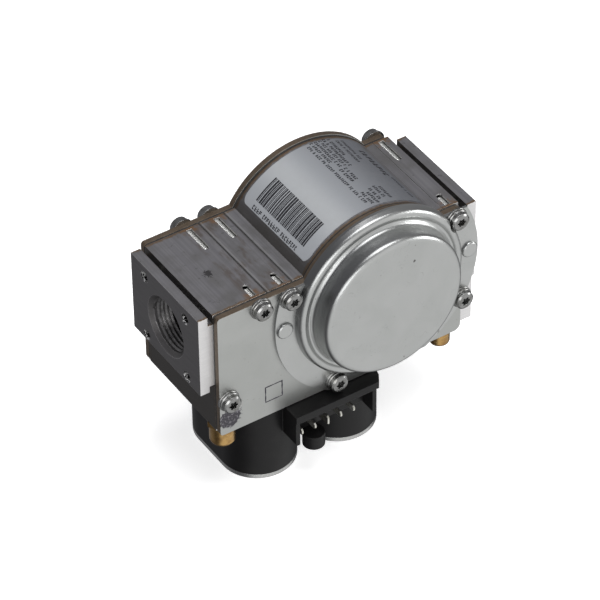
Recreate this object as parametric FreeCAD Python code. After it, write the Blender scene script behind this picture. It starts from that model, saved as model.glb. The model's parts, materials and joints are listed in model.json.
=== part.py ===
"""Multi-function gas valve: an extruded body, two solenoid valves and a diaphragm pressure regulator.

Frame: millimetres. The origin is the centre of the inlet bore on the inlet flange face, +X points
along the gas flow to the outlet flange, +Y to the back cover and +Z away from the solenoid unit.
"""
import FreeCAD
import Part
import math
import os

# Driving dimensions: pipe flanges and body extrusion
LENGTH = 134.3
BODY_HALF_DEPTH = 25.6
FLANGE_THICKNESS = 4.4
FLANGE_TOP = 21.2
FLANGE_BOTTOM = -18.5
BODY_LEFT = 6.8
BODY_RIGHT = 125.2
BODY_BOTTOM = -41.0
LEFT_SHOULDER = 21.4
RIGHT_SHOULDER = 25.0
NECK_TOP = 16.8
NECK_BOTTOM = -15.5
FOOT_RIGHT = 133.0
ARCH_X = 82.8
ARCH_Z = 2.0
ARCH_RADIUS = 38.4

# Ports and flange holes
PORT_RADIUS = 12.05
PORT_CHAMFER = 1.8
BOLT_SPACING = 31.0
BOLT_HOLE_RADIUS = 2.1
BOLT_HOLE_DEPTH = 6.0

# Gas chambers, as seen along Y
WALL_BOTTOM = -14.0
WALL_TOP = -10.0
CHAMBER_FLOOR = -37.0
CHAMBER_ROOF = 12.0
INLET_CHAMBER_LEFT = 10.0
INLET_CHAMBER_RIGHT = 20.0
REGULATOR_CHAMBER_RADIUS = 33.5
REGULATOR_CHAMBER_LEFT = 62.5
OUTLET_CHAMBER_LEFT = 118.4
OUTLET_CHAMBER_RIGHT = 125.5
OUTLET_CHAMBER_HALF_HEIGHT = 14.0

# Cover plates, gaskets and their screws
GASKET_THICKNESS = 0.85
PLATE_THICKNESS = 2.5
PLATE_LEFT = 6.8
PLATE_RIGHT = 125.2
PLATE_BOTTOM = -41.6
PLATE_CORNER = 3.0
PLATE_ARCH_RADIUS = 38.9
PLATE_INNER_Y = BODY_HALF_DEPTH + GASKET_THICKNESS
PLATE_OUTER_Y = PLATE_INNER_Y + PLATE_THICKNESS
COVER_SCREWS = [(26.9, 18.2), (40.1, 18.2), (121.0, 21.9), (10.8, -23.4), (61.8, -37.0), (124.0, -22.0)]
OPEN_CHANNELS = 3
CHANNEL_RADIUS = 2.6
WINDOW_HALF_WIDTH = 1.3
FRONT_SCREW_END = 17.0
BACK_SCREW_END = 10.0
GROOVES = [(32.3, LEFT_SHOULDER), (44.3, LEFT_SHOULDER), (117.5, RIGHT_SHOULDER)]
CHANNEL_BOSS_RADIUS = 5.0
SCREW_HOLE_RADIUS = 2.75
SCREW_RADIUS = 2.5
SCREW_CORE_RADIUS = 2.1
SCREW_PITCH = 0.8
HEAD_RADIUS = 4.2
HEAD_HEIGHT = 3.3
WASHER_RADIUS = 4.9
POCKET_RADIUS = 5.2
POCKET_WALL = 0.8
WASHER_THICKNESS = 1.0

# Type label
LABEL_HALF_DEPTH = 23.7
LABEL_LEFT_ANGLE = 142.3
LABEL_RIGHT_ANGLE = 47.0
LABEL_CORNER = 2.6

# Diaphragm dome
DOME_Z = 1.8
DOME_FLANGE_RADIUS = 49.6
BEAD_FOOT_RADIUS = 40.3
DOME_SHEET = 1.2
DOME_HEIGHT = 14.1
BUTTON_OFFSET = 45.2
BUTTON_RADIUS = 3.8
BUTTON_HEIGHT = 1.3
BUTTON_ROUND = 1.1

# Regulator
SEAT_PLATE_FRONT = 10.0
SEAT_PLATE_BACK = 13.0
SEAT_BORE = 8.5
SEAT_LIP = 1.0
STEM_RADIUS = 2.0
BUSH_CLEARANCE = 0.06
DIAPHRAGM_DISC_RADIUS = 24.0
REGULATOR_LIFT = 2.2

# Solenoid valves
VALVE_X = (36.0, 76.0)
VALVE_SEAT_RADIUS = 9.0
VALVE_SEAT_LIP = 1.2
VALVE_CLEARANCE = 0.05
SEAL_THICKNESS = 1.5
DISC_THICKNESS = 2.4
DISC_RADIUS = 12.2
ARMATURE_RADIUS = 5.5
ARMATURE_BOTTOM = -48.2
TUBE_RADIUS = 6.4
TUBE_BORE = 5.58
TUBE_BOTTOM = -76.3
TUBE_FLANGE_RADIUS = 15.6
TUBE_FLANGE_THICKNESS = 1.6
CORE_TOP = -52.6
SPRING_WIRE = 0.5
SPRING_WIRE_SIDES = 8
SPRING_STEPS_PER_TURN = 16
SERVICE_HOLE_RADIUS = 13.6

# Solenoid unit
MOUNT_PLATE_THICKNESS = 2.0
COIL_HALF_WIDTH = 16.8
COIL_HALF_DEPTH = 26.5
COIL_TOP = -43.2
COIL_BOTTOM = -78.0
END_PLATE_THICKNESS = 2.0
BOBBIN_TOP = -43.5
BOBBIN_BOTTOM = -76.4
BOBBIN_FLANGE_RADIUS = 14.4
WINDING_RADIUS = 13.9
UNIT_SCREWS = [(29.0, -20.0), (29.0, 20.0), (83.0, -20.0), (83.0, 20.0)]
SOCKET_LEFT = 38.4
SOCKET_RIGHT = 79.0
SOCKET_FRONT = -37.0
SOCKET_BACK = -28.6
SOCKET_BOTTOM = -58.0
BOSS_X = 49.8
BOSS_Y = -32.0
BOSS_RADIUS = 4.8
BOSS_BOTTOM = -64.9
BLADE_PITCH = 6.35
EARTH_BLADE_X = 54.4
BLADE_Z = -52.0

# Test nipples
NIPPLES = {"inlet": (13.3, -19.6), "outlet": (121.3, -19.6)}
NIPPLE_BARRELS = {"inlet": 5.5, "outlet": 4.5}
NIPPLE_BOTTOM = -53.4
NIPPLE_THREAD_RADIUS = 4.8
NIPPLE_THREAD_TOP = -35.0
NIPPLE_HEX = 12.0
NIPPLE_SCREW_RADIUS = 2.5
NIPPLE_SCREW_BORE = 2.56
NIPPLE_SEAT_Z = -46.6
NIPPLE_SEAT_BORE = 1.2
NIPPLE_BALL_RADIUS = 1.9

VECTOR = FreeCAD.Vector
UP = VECTOR(0, 0, 1)
BACK = VECTOR(0, 1, 0)
RIGHT = VECTOR(1, 0, 0)


def box(x0, x1, y0, y1, z0, z1):
    return Part.makeBox(x1 - x0, y1 - y0, z1 - z0, VECTOR(x0, y0, z0))


def cylinder_z(x, y, radius, z0, z1):
    return Part.makeCylinder(radius, z1 - z0, VECTOR(x, y, z0), UP)


def cylinder_y(x, z, radius, y0, y1):
    return Part.makeCylinder(radius, y1 - y0, VECTOR(x, y0, z), BACK)


def cylinder_x(y, z, radius, x0, x1):
    return Part.makeCylinder(radius, x1 - x0, VECTOR(x0, y, z), RIGHT)


def ring_z(x, y, inner, outer, z0, z1):
    return cylinder_z(x, y, outer, z0, z1).cut(cylinder_z(x, y, inner, z0 - 1, z1 + 1))


def ring_y(x, z, inner, outer, y0, y1):
    return cylinder_y(x, z, outer, y0, y1).cut(cylinder_y(x, z, inner, y0 - 1, y1 + 1))


def fuse(shapes):
    """One shape from several, with the seams between coplanar faces removed."""
    first = shapes[0]
    joined = first.multiFuse(shapes[1:]) if len(shapes) > 1 else first
    return joined.removeSplitter()


def cut(base, tools):
    return base.cut(tools) if len(tools) > 1 else base.cut(tools[0])


def lathe(profile, x=0, y=0):
    """Solid turned about the vertical line through (x, y) from a closed outline of (radius, z) points."""
    points = [VECTOR(radius, 0, z) for radius, z in profile]
    face = Part.Face(Part.makePolygon(points + points[:1]))
    solid = face.revolve(VECTOR(0, 0, 0), UP, 360)
    solid.translate(VECTOR(x, y, 0))
    return solid


def aim(shape, origin, direction):
    """Move a shape made about +Z so that its axis runs from origin along direction."""
    placed = shape.copy()
    placed.Placement = FreeCAD.Placement(VECTOR(*origin), FreeCAD.Rotation(UP, VECTOR(*direction)))
    return placed


def rounded_block(x0, x1, z0, z1, y0, y1, radius):
    """Block with its four edges along Y rounded."""
    block = box(x0, x1, y0, y1, z0, z1)
    edges = [edge for edge in block.Edges if abs(edge.tangentAt(edge.FirstParameter).y) > 0.9]
    return block.makeFillet(radius, edges)


def stadium(x, half_width, half_depth, z0, z1):
    """Upright prism with two straight sides and two half-round ends, long axis along Y."""
    reach = half_depth - half_width
    sides = box(x - half_width, x + half_width, -reach, reach, z0, z1)
    ends = [cylinder_z(x, sign * reach, half_width, z0, z1) for sign in (-1, 1)]
    return fuse([sides] + ends)


def hex_prism(x, y, across_flats, z0, z1):
    corner = across_flats / 2 / math.cos(math.pi / 6)
    points = [VECTOR(corner * math.cos(i * math.pi / 3), corner * math.sin(i * math.pi / 3), z0)
              for i in range(6)]
    prism = Part.Face(Part.makePolygon(points + points[:1])).extrude(VECTOR(0, 0, z1 - z0))
    prism.translate(VECTOR(x, y, 0))
    return prism


def spring_section(mean_radius, wire_radius, height, turn):
    """Corners of the wire's section after that many turns of the helix."""
    corners = []
    for i in range(SPRING_WIRE_SIDES):
        side = 2 * math.pi * i / SPRING_WIRE_SIDES
        radius = mean_radius + wire_radius * math.cos(side)
        angle = 2 * math.pi * turn
        corners.append(VECTOR(radius * math.cos(angle), radius * math.sin(angle),
                              height + wire_radius * math.sin(side)))
    return corners


def helical_spring(mean_radius, wire_radius, length, turns):
    """Spring of faceted wire standing on z = 0."""
    steps = int(turns * SPRING_STEPS_PER_TURN)
    climb = (length - 2 * wire_radius) / steps
    rings = [spring_section(mean_radius, wire_radius, wire_radius + climb * i, i / SPRING_STEPS_PER_TURN)
             for i in range(steps + 1)]
    faces = [Part.Face(Part.makePolygon(ring + ring[:1])) for ring in (rings[0], rings[-1])]
    for lower, upper in zip(rings, rings[1:]):
        for i in range(SPRING_WIRE_SIDES):
            k = (i + 1) % SPRING_WIRE_SIDES
            faces.append(Part.Face(Part.makePolygon([lower[i], lower[k], upper[k], lower[i]])))
            faces.append(Part.Face(Part.makePolygon([lower[i], upper[k], upper[i], lower[i]])))
    spring = Part.Solid(Part.Shell(faces))
    if spring.Volume < 0:
        spring.reverse()
    return spring


def cover_outline(y0, y1, arch_radius, bottom):
    """Prism of the cover plates' outline: left shoulder, arch and higher right shoulder."""
    left = rounded_block(PLATE_LEFT, ARCH_X, bottom, LEFT_SHOULDER, y0, y1, PLATE_CORNER / 2)
    right = rounded_block(ARCH_X - 10, PLATE_RIGHT, bottom, RIGHT_SHOULDER, y0, y1, PLATE_CORNER)
    arch = cylinder_y(ARCH_X, ARCH_Z, arch_radius, y0, y1)
    return fuse([left, right, arch])


def screw_holes(y0, y1, radius=SCREW_HOLE_RADIUS):
    return [cylinder_y(x, z, radius, y0, y1) for x, z in COVER_SCREWS]


# Body extrusion

def body_outline():
    """The extrusion's outer form: two flanges on necks, the shouldered block, its arch and its foot."""
    depth = (-BODY_HALF_DEPTH, BODY_HALF_DEPTH)
    inlet_flange = box(0, FLANGE_THICKNESS, *depth, FLANGE_BOTTOM, FLANGE_TOP)
    outlet_flange = box(LENGTH - FLANGE_THICKNESS, LENGTH, *depth, FLANGE_BOTTOM, FLANGE_TOP)
    necks = box(FLANGE_THICKNESS, LENGTH - FLANGE_THICKNESS, *depth, NECK_BOTTOM, NECK_TOP)
    block = box(BODY_LEFT, BODY_RIGHT, *depth, BODY_BOTTOM, LEFT_SHOULDER)
    right = box(ARCH_X, BODY_RIGHT, *depth, WALL_BOTTOM, RIGHT_SHOULDER)
    foot = box(BODY_RIGHT - 5, FOOT_RIGHT, *depth, BODY_BOTTOM, FLANGE_BOTTOM + 2)
    arch = cylinder_y(ARCH_X, ARCH_Z, ARCH_RADIUS, *depth)
    return fuse([block, inlet_flange, outlet_flange, necks, right, foot, arch])


def gas_chambers():
    """Hollows that run right through the extrusion along Y and are closed by the cover plates."""
    y0 = -BODY_HALF_DEPTH - 1
    y1 = BODY_HALF_DEPTH + 1
    wall = INLET_CHAMBER_RIGHT
    inlet = box(INLET_CHAMBER_LEFT, wall, y0, y1, CHAMBER_FLOOR, CHAMBER_ROOF + 3)
    under_first_seat = box(INLET_CHAMBER_LEFT, 52, y0, y1, CHAMBER_FLOOR, WALL_BOTTOM)
    over_first_seat = box(wall + 2, 60, y0, y1, WALL_TOP, CHAMBER_ROOF)
    passage = box(54, 60, y0, y1, CHAMBER_FLOOR, CHAMBER_ROOF)
    under_second_seat = box(54, 96, y0, y1, CHAMBER_FLOOR, WALL_BOTTOM)
    regulator = cylinder_y(ARCH_X, ARCH_Z, REGULATOR_CHAMBER_RADIUS, y0, y1)
    regulator = regulator.common(box(REGULATOR_CHAMBER_LEFT, LENGTH, y0, y1, WALL_TOP, 60))
    half = OUTLET_CHAMBER_HALF_HEIGHT
    outlet = box(OUTLET_CHAMBER_LEFT, OUTLET_CHAMBER_RIGHT - 2, y0, y1, -half, half)
    spare = box(99, 117, y0, y1, CHAMBER_FLOOR + 1, WALL_BOTTOM - 4)
    return [fuse([inlet, under_first_seat]), fuse([over_first_seat, passage, under_second_seat]),
            regulator, outlet, spare]


def channel_bosses():
    """Metal kept round each screw channel, both unit screws and both nipple threads."""
    y0 = -BODY_HALF_DEPTH
    y1 = BODY_HALF_DEPTH
    bosses = [cylinder_y(x, z, CHANNEL_BOSS_RADIUS, y0, y1) for x, z in COVER_SCREWS]
    bosses += [cylinder_z(x, y, 4.5, BODY_BOTTOM, CHAMBER_FLOOR + 4) for x, y in UNIT_SCREWS]
    bosses += [cylinder_z(x, y, 6.0, BODY_BOTTOM, CHAMBER_FLOOR + 4) for x, y in NIPPLES.values()]
    return bosses


def channel_cuts():
    """Screw channels; over the shoulder screws the thin wall is open in a window at each end."""
    cuts = screw_holes(-BODY_HALF_DEPTH - 1, BODY_HALF_DEPTH + 1, CHANNEL_RADIUS)
    half = WINDOW_HALF_WIDTH
    for x, z in COVER_SCREWS[:OPEN_CHANNELS]:
        for y0, y1 in ((-24.4, -FRONT_SCREW_END - half), (BACK_SCREW_END + half, 24.4)):
            cuts.append(box(x - half, x + half, y0, y1, z, z + 8))
            cuts.append(cylinder_z(x, y0 if y0 > 0 else y1, half, z, z + 8))
    return cuts


def shoulder_grooves():
    """Shallow grooves of the extrusion beside the screw channels."""
    reach = BODY_HALF_DEPTH + 1
    return [box(x - 0.2, x + 0.2, -reach, reach, z - 0.25, z + 1) for x, z in GROOVES]


def port_cuts(x_face, inward):
    """Threaded port with a mouth chamfer and the four flange holes round it."""
    reach = INLET_CHAMBER_LEFT + 1.5
    x0 = min(x_face, x_face + inward * reach)
    bore = cylinder_x(0, 0, PORT_RADIUS, x0, x0 + reach)
    mouth = Part.makeCone(PORT_RADIUS + PORT_CHAMFER, PORT_RADIUS, PORT_CHAMFER,
                          VECTOR(x_face, 0, 0), VECTOR(inward, 0, 0))
    cuts = [bore, mouth]
    half = BOLT_SPACING / 2
    for y in (-half, half):
        for z in (-half, half):
            start = min(x_face, x_face + inward * BOLT_HOLE_DEPTH)
            cuts.append(cylinder_x(y, z, BOLT_HOLE_RADIUS, start, start + BOLT_HOLE_DEPTH))
            cuts.append(Part.makeCone(BOLT_HOLE_RADIUS + 0.5, BOLT_HOLE_RADIUS, 0.5,
                                      VECTOR(x_face, y, z), VECTOR(inward, 0, 0)))
    return cuts


def valve_cuts():
    """Seat bore, service hole, flange recess and seal groove of each solenoid valve, and unit screw holes."""
    cuts = []
    recess_top = BODY_BOTTOM + TUBE_FLANGE_THICKNESS
    for x in VALVE_X:
        cuts.append(cylinder_z(x, 0, VALVE_SEAT_RADIUS, WALL_BOTTOM - 3, WALL_TOP + 1))
        cuts.append(cylinder_z(x, 0, SERVICE_HOLE_RADIUS, BODY_BOTTOM - 1, CHAMBER_FLOOR + 1))
        cuts.append(cylinder_z(x, 0, TUBE_FLANGE_RADIUS, BODY_BOTTOM - 1, recess_top))
        cuts.append(ring_z(x, 0, 13.7, 15.0, recess_top - 0.5, recess_top + 0.85))
    cuts += [cylinder_z(x, y, 2.0, BODY_BOTTOM - 1, CHAMBER_FLOOR + 2) for x, y in UNIT_SCREWS]
    return cuts


def nipple_cuts():
    """Threaded hole of each nipple and the drilling from the outlet one up to the outlet chamber."""
    cuts = [cylinder_z(x, y, NIPPLE_THREAD_RADIUS, BODY_BOTTOM - 1, NIPPLE_THREAD_TOP)
            for x, y in NIPPLES.values()]
    inlet_x, inlet_y = NIPPLES["inlet"]
    outlet_x, outlet_y = NIPPLES["outlet"]
    cuts.append(cylinder_z(inlet_x, inlet_y, 1.5, NIPPLE_THREAD_TOP - 1, CHAMBER_FLOOR + 6))
    cuts.append(cylinder_z(outlet_x - 1.8, outlet_y, 1.2, NIPPLE_THREAD_TOP - 1, -12))
    return cuts


def valve_body():
    lip_bottom = WALL_BOTTOM - VALVE_SEAT_LIP
    lips = [cylinder_z(x, 0, VALVE_SEAT_RADIUS + 1.2, lip_bottom, WALL_BOTTOM + 0.5) for x in VALVE_X]
    hollow = cut(body_outline(), gas_chambers())
    solid = fuse([hollow] + channel_bosses() + lips)
    solid = solid.common(body_outline())
    regulator_port = box(111, OUTLET_CHAMBER_LEFT + 1, SEAT_PLATE_BACK + 1, 24, -7, 12)
    cuts = channel_cuts() + port_cuts(0, 1) + port_cuts(LENGTH, -1) + valve_cuts() + nipple_cuts()
    return cut(solid, cuts + shoulder_grooves() + [regulator_port])


# Covers, gaskets and fasteners

def cover_gasket(side):
    y0, y1 = sorted((side * BODY_HALF_DEPTH, side * PLATE_INNER_Y))
    sheet = cover_outline(y0, y1, ARCH_RADIUS + 0.2, PLATE_BOTTOM + 0.5)
    holes = screw_holes(y0 - 1, y1 + 1)
    if side < 0:
        holes += front_passages(y0 - 1, y1 + 1)
    return cut(sheet, holes)


def front_passages(y0, y1):
    """Hole for the stem's bush and the small hole that brings outlet pressure to the diaphragm."""
    return [cylinder_y(ARCH_X, DOME_Z, 5.0, y0, y1), cylinder_y(121.0, DOME_Z, 1.5, y0, y1)]


def cover_plate(side):
    y0, y1 = sorted((side * PLATE_INNER_Y, side * PLATE_OUTER_Y))
    sheet = cover_outline(y0, y1, PLATE_ARCH_RADIUS, PLATE_BOTTOM)
    holes = screw_holes(y0 - 1, y1 + 1)
    if side < 0:
        holes += front_passages(y0 - 1, y1 + 1)
        holes.append(box(110.0, 122.0, y0 - 1, y0 + 0.8, DOME_Z - 1.5, DOME_Z + 1.5))
    return cut(sheet, holes)


def seat_y(x, z, side):
    """Distance from the middle plane to the face that a cover screw's washer sits on."""
    on_dome = side < 0 and math.hypot(x - ARCH_X, z - DOME_Z) < DOME_FLANGE_RADIUS
    return PLATE_OUTER_Y + (DOME_SHEET if on_dome else 0)


def star_socket(depth, top):
    """Six-lobed driver recess, open at z = top."""
    lobes = [cylinder_z(1.6 * math.cos(i * math.pi / 3), 1.6 * math.sin(i * math.pi / 3), 0.5,
                        top - depth, top + 1) for i in range(6)]
    return fuse([cylinder_z(0, 0, 1.55, top - depth, top + 1)] + lobes)


def thread_profile(length):
    """Outline of a threaded shank below z = 0, as rings of the thread's own pitch."""
    turns = int((length - 2.0) / SCREW_PITCH)
    profile = [(0, 0.2), (SCREW_RADIUS, 0.2), (SCREW_RADIUS, -1.0)]
    for turn in range(turns):
        z = -1.0 - turn * SCREW_PITCH
        profile.append((SCREW_CORE_RADIUS, z - 0.4 * SCREW_PITCH))
        profile.append((SCREW_RADIUS, z - 0.9 * SCREW_PITCH))
    profile += [(SCREW_CORE_RADIUS - 0.5, -length), (0, -length)]
    return profile


def cover_screw(length):
    """Screw standing on z = 0: a domed cylinder head above, the threaded shank below."""
    head = [(0, 0), (HEAD_RADIUS + 0.35, 0), (HEAD_RADIUS + 0.35, 0.7), (HEAD_RADIUS, 1.0),
            (HEAD_RADIUS - 0.1, HEAD_HEIGHT - 0.6), (HEAD_RADIUS - 0.8, HEAD_HEIGHT), (0, HEAD_HEIGHT)]
    screw = fuse([lathe(head), lathe(thread_profile(length))])
    return screw.cut(star_socket(2.0, HEAD_HEIGHT))


def cover_screws(side):
    screws = []
    for x, z in COVER_SCREWS:
        seat = seat_y(x, z, side) + WASHER_THICKNESS
        end = FRONT_SCREW_END if side < 0 else BACK_SCREW_END
        screws.append(aim(cover_screw(seat - end), (x, side * seat, z), (0, side, 0)))
    return Part.makeCompound(screws)


def screw_washers(side):
    washer = lathe([(SCREW_HOLE_RADIUS, 0), (WASHER_RADIUS, 0), (WASHER_RADIUS, 0.8),
                    (WASHER_RADIUS - 0.2, WASHER_THICKNESS), (SCREW_HOLE_RADIUS, WASHER_THICKNESS)])
    return Part.makeCompound([aim(washer, (x, side * seat_y(x, z, side), z), (0, side, 0))
                              for x, z in COVER_SCREWS])


def type_label():
    """Thin sheet with rounded corners, bent round the arch."""
    outer = ARCH_RADIUS + 0.15
    sheet = ring_y(ARCH_X, ARCH_Z, ARCH_RADIUS, outer, -LABEL_HALF_DEPTH, LABEL_HALF_DEPTH)
    left = ARCH_X + outer * math.cos(math.radians(LABEL_LEFT_ANGLE))
    right = ARCH_X + outer * math.cos(math.radians(LABEL_RIGHT_ANGLE))
    outline = box(left, right, -LABEL_HALF_DEPTH, LABEL_HALF_DEPTH, ARCH_Z, ARCH_Z + outer + 1)
    corners = [edge for edge in outline.Edges if abs(edge.tangentAt(edge.FirstParameter).z) > 0.9]
    return sheet.common(outline.makeFillet(LABEL_CORNER, corners))


# Diaphragm dome and regulator

def dome_front():
    """Turned outline of the dome's front surface, from the rim over the bead to the centre."""
    return [
        ("line", (DOME_FLANGE_RADIUS + 1, DOME_SHEET), (BEAD_FOOT_RADIUS, DOME_SHEET)),
        ("line", None, (40.0, 2.9)),
        ("arc", (39.2, 4.4), (37.7, 5.0)),
        ("arc", (36.9, 4.8), (36.1, 4.2)),
        ("arc", (35.4, 4.05), (34.8, 4.4)),
        ("arc", (33.95, 5.2), (33.6, 6.4)),
        ("line", None, (33.4, DOME_HEIGHT - 2.6)),
        ("arc", (32.64, DOME_HEIGHT - 0.76), (30.8, DOME_HEIGHT)),
        ("line", None, (0, DOME_HEIGHT)),
    ]


def dome_inside():
    """Turned outline of the dome's inner surface, a sheet thickness behind the front surface."""
    roof = DOME_HEIGHT - DOME_SHEET
    return [
        ("line", (DOME_FLANGE_RADIUS + 1, 0), (39.5, 0)),
        ("line", None, (38.9, 2.7)),
        ("arc", (38.5, 3.45), (37.7, 3.8)),
        ("line", None, (36.5, 3.0)),
        ("line", None, (34.3, 3.1)),
        ("arc", (32.9, 4.5), (32.4, 6.4)),
        ("line", None, (32.2, roof - 1.4)),
        ("arc", (31.79, roof - 0.41), (30.8, roof)),
        ("line", None, (0, roof)),
    ]


def path_edges(path):
    """Edges of a path of lines and three-point arcs, drawn in the XZ plane."""
    edges = []
    point = None
    for kind, first, last in path:
        end = VECTOR(last[0], 0, last[1])
        if kind == "line":
            start = VECTOR(first[0], 0, first[1]) if first else point
            edges.append(Part.LineSegment(start, end).toShape())
        else:
            edges.append(Part.Arc(point, VECTOR(first[0], 0, first[1]), end).toShape())
        point = end
    return edges


def bead_screws():
    """Cover screws so close to the dome that its bead has a pocket for them."""
    return [(x, z) for x, z in COVER_SCREWS
            if math.hypot(x - ARCH_X, z - DOME_Z) < BEAD_FOOT_RADIUS + POCKET_RADIUS]


def pocket_walls():
    """Metal under the bead that closes each screw pocket towards the diaphragm."""
    outer = path_edges(dome_front())
    rim = outer[0].Vertexes[0].Point
    top = outer[-1].Vertexes[-1].Point
    base = Part.makePolygon([top, VECTOR(0, 0, 0), VECTOR(rim.x, 0, 0), rim]).Edges
    filled = Part.Face(Part.Wire(Part.__sortEdges__(outer + base))).revolve(VECTOR(0, 0, 0), UP, 360)
    filled = aim(filled, (ARCH_X, -PLATE_OUTER_Y, DOME_Z), (0, -1, 0))
    reach = POCKET_RADIUS + POCKET_WALL
    return [filled.common(cylinder_y(x, z, reach, -PLATE_OUTER_Y - 8, -PLATE_OUTER_Y)) for x, z in bead_screws()]


def button(x, front):
    """Embossed button on the dome's flange, with a well rounded rim."""
    post = cylinder_y(x, DOME_Z, BUTTON_RADIUS, front - BUTTON_HEIGHT, front + DOME_SHEET / 2)
    rim = [edge for edge in post.Edges if edge.BoundBox.YMax < front - BUTTON_HEIGHT / 2]
    return post.makeFillet(BUTTON_ROUND, rim)


def diaphragm_dome():
    """Deep-drawn cup with a bead, on a round flange cut off along the cover's shoulders and bottom edge."""
    outer = path_edges(dome_front())
    inner = path_edges(dome_inside())
    rim = Part.LineSegment(outer[0].Vertexes[0].Point, inner[0].Vertexes[0].Point).toShape()
    middle = Part.LineSegment(outer[-1].Vertexes[-1].Point, inner[-1].Vertexes[-1].Point).toShape()
    wire = Part.Wire(Part.__sortEdges__(outer + [middle] + inner + [rim]))
    turned = Part.Face(wire).revolve(VECTOR(0, 0, 0), UP, 360)
    cup = aim(turned, (ARCH_X, -PLATE_OUTER_Y, DOME_Z), (0, -1, 0))
    cup = fuse([cup] + pocket_walls())
    y0 = -PLATE_OUTER_Y - DOME_HEIGHT - 5
    y1 = -PLATE_OUTER_Y + 1
    room = fuse([cover_outline(y0, y1, PLATE_ARCH_RADIUS, PLATE_BOTTOM),
                 box(115, LENGTH, y0, y1, PLATE_BOTTOM, RIGHT_SHOULDER),
                 cylinder_y(ARCH_X, DOME_Z, BEAD_FOOT_RADIUS, y0, y1)])
    disc = cylinder_y(ARCH_X, DOME_Z, DOME_FLANGE_RADIUS, y0, y1)
    cup = cup.common(room.common(disc))
    front = -PLATE_OUTER_Y - DOME_SHEET
    cup = fuse([cup] + [button(ARCH_X + sign * BUTTON_OFFSET, front) for sign in (-1, 1)])
    holes = [cylinder_y(x, z, SCREW_HOLE_RADIUS, y0, y1) for x, z in COVER_SCREWS
             if seat_y(x, z, -1) > PLATE_OUTER_Y]
    pockets = [cylinder_y(x, z, POCKET_RADIUS, y0, front) for x, z in bead_screws()]
    return cut(cup, holes + pockets)


def about_dome_axis(profile):
    """Solid turned about the dome's axis from (radius, height in front of the cover plate) points."""
    return aim(lathe(profile), (ARCH_X, -PLATE_OUTER_Y, DOME_Z), (0, -1, 0))


def regulator_diaphragm():
    """Rubber sheet with a rolled convolution and a thick rim that lies in the dome's bead."""
    sheet = about_dome_axis([(STEM_RADIUS, 2.4), (25.2, 2.4), (26.6, 4.2), (29.6, 4.2), (31.0, 2.4),
                             (35.6, 2.3), (35.9, 0), (38.4, 0), (38.4, 2.5), (35.0, 2.8), (31.3, 3.1),
                             (29.9, 4.9), (26.2, 4.9), (24.9, 3.1), (STEM_RADIUS, 3.1)])
    reach = POCKET_RADIUS + POCKET_WALL + 0.1
    return cut(sheet, [cylinder_y(x, z, reach, -PLATE_OUTER_Y - 8, -PLATE_INNER_Y) for x, z in bead_screws()])


def diaphragm_disc(bottom, turn_up):
    """Metal disc that stiffens the middle of the diaphragm, its rim turned away from the rubber."""
    radius = DIAPHRAGM_DISC_RADIUS
    top = bottom + 0.8
    rise = turn_up
    if turn_up > 0:
        outline = [(STEM_RADIUS, bottom), (radius - 0.4, bottom), (radius + 0.4, bottom + rise),
                   (radius - 0.4, top + rise), (radius - 1.2, top), (STEM_RADIUS, top)]
    else:
        outline = [(STEM_RADIUS, bottom), (radius, bottom), (radius, top), (STEM_RADIUS, top)]
    return about_dome_axis(outline)


def regulator_stem():
    return about_dome_axis([(0, 6.6), (STEM_RADIUS - 0.3, 6.6), (STEM_RADIUS, 6.3),
                            (STEM_RADIUS, -PLATE_OUTER_Y - 21.2), (0, -PLATE_OUTER_Y - 21.2)])


def regulator_stem_nut():
    nut = hex_prism(0, 0, 7.0, 3.9, 5.9).cut(cylinder_z(0, 0, STEM_RADIUS, 3, 7))
    return aim(nut, (ARCH_X, -PLATE_OUTER_Y, DOME_Z), (0, -1, 0))


def regulator_stem_bush():
    bore = STEM_RADIUS + BUSH_CLEARANCE
    return about_dome_axis([(bore, -0.6), (5.0, -0.6), (5.0, -6.8), (bore, -6.8)])


def regulator_seat_plate():
    """Insert that splits the regulator chamber, with a raised seat round its bore."""
    plate = cylinder_y(ARCH_X, ARCH_Z, REGULATOR_CHAMBER_RADIUS - 0.1, SEAT_PLATE_FRONT, SEAT_PLATE_BACK)
    plate = plate.common(box(REGULATOR_CHAMBER_LEFT + 0.1, LENGTH, 0, 20, WALL_TOP + 0.1, 60))
    lip = cylinder_y(ARCH_X, DOME_Z, SEAT_BORE + 1.2, SEAT_PLATE_FRONT, SEAT_PLATE_BACK + SEAT_LIP)
    bore = cylinder_y(ARCH_X, DOME_Z, SEAT_BORE, SEAT_PLATE_FRONT - 1, SEAT_PLATE_BACK + 3)
    return fuse([plate, lip]).cut(bore)


def regulator_valve_seal():
    face = SEAT_PLATE_BACK + SEAT_LIP + REGULATOR_LIFT
    return ring_y(ARCH_X, DOME_Z, STEM_RADIUS, 10.6, face, face + SEAL_THICKNESS)


def regulator_valve_disc():
    face = SEAT_PLATE_BACK + SEAT_LIP + REGULATOR_LIFT + SEAL_THICKNESS
    return ring_y(ARCH_X, DOME_Z, STEM_RADIUS, 11.0, face, face + 2.0)


def regulator_spring():
    inside = DOME_HEIGHT - DOME_SHEET
    spring = helical_spring(9.0, SPRING_WIRE, inside - 3.9 - 0.2, 4.5)
    return aim(spring, (ARCH_X, -PLATE_OUTER_Y - 3.9 - 0.1, DOME_Z), (0, -1, 0))


# Solenoid valves

def seal_top():
    return WALL_BOTTOM - VALVE_SEAT_LIP - VALVE_CLEARANCE


def valve_seal(x):
    top = seal_top()
    return cylinder_z(x, 0, DISC_RADIUS - 0.3, top - SEAL_THICKNESS, top)


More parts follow.
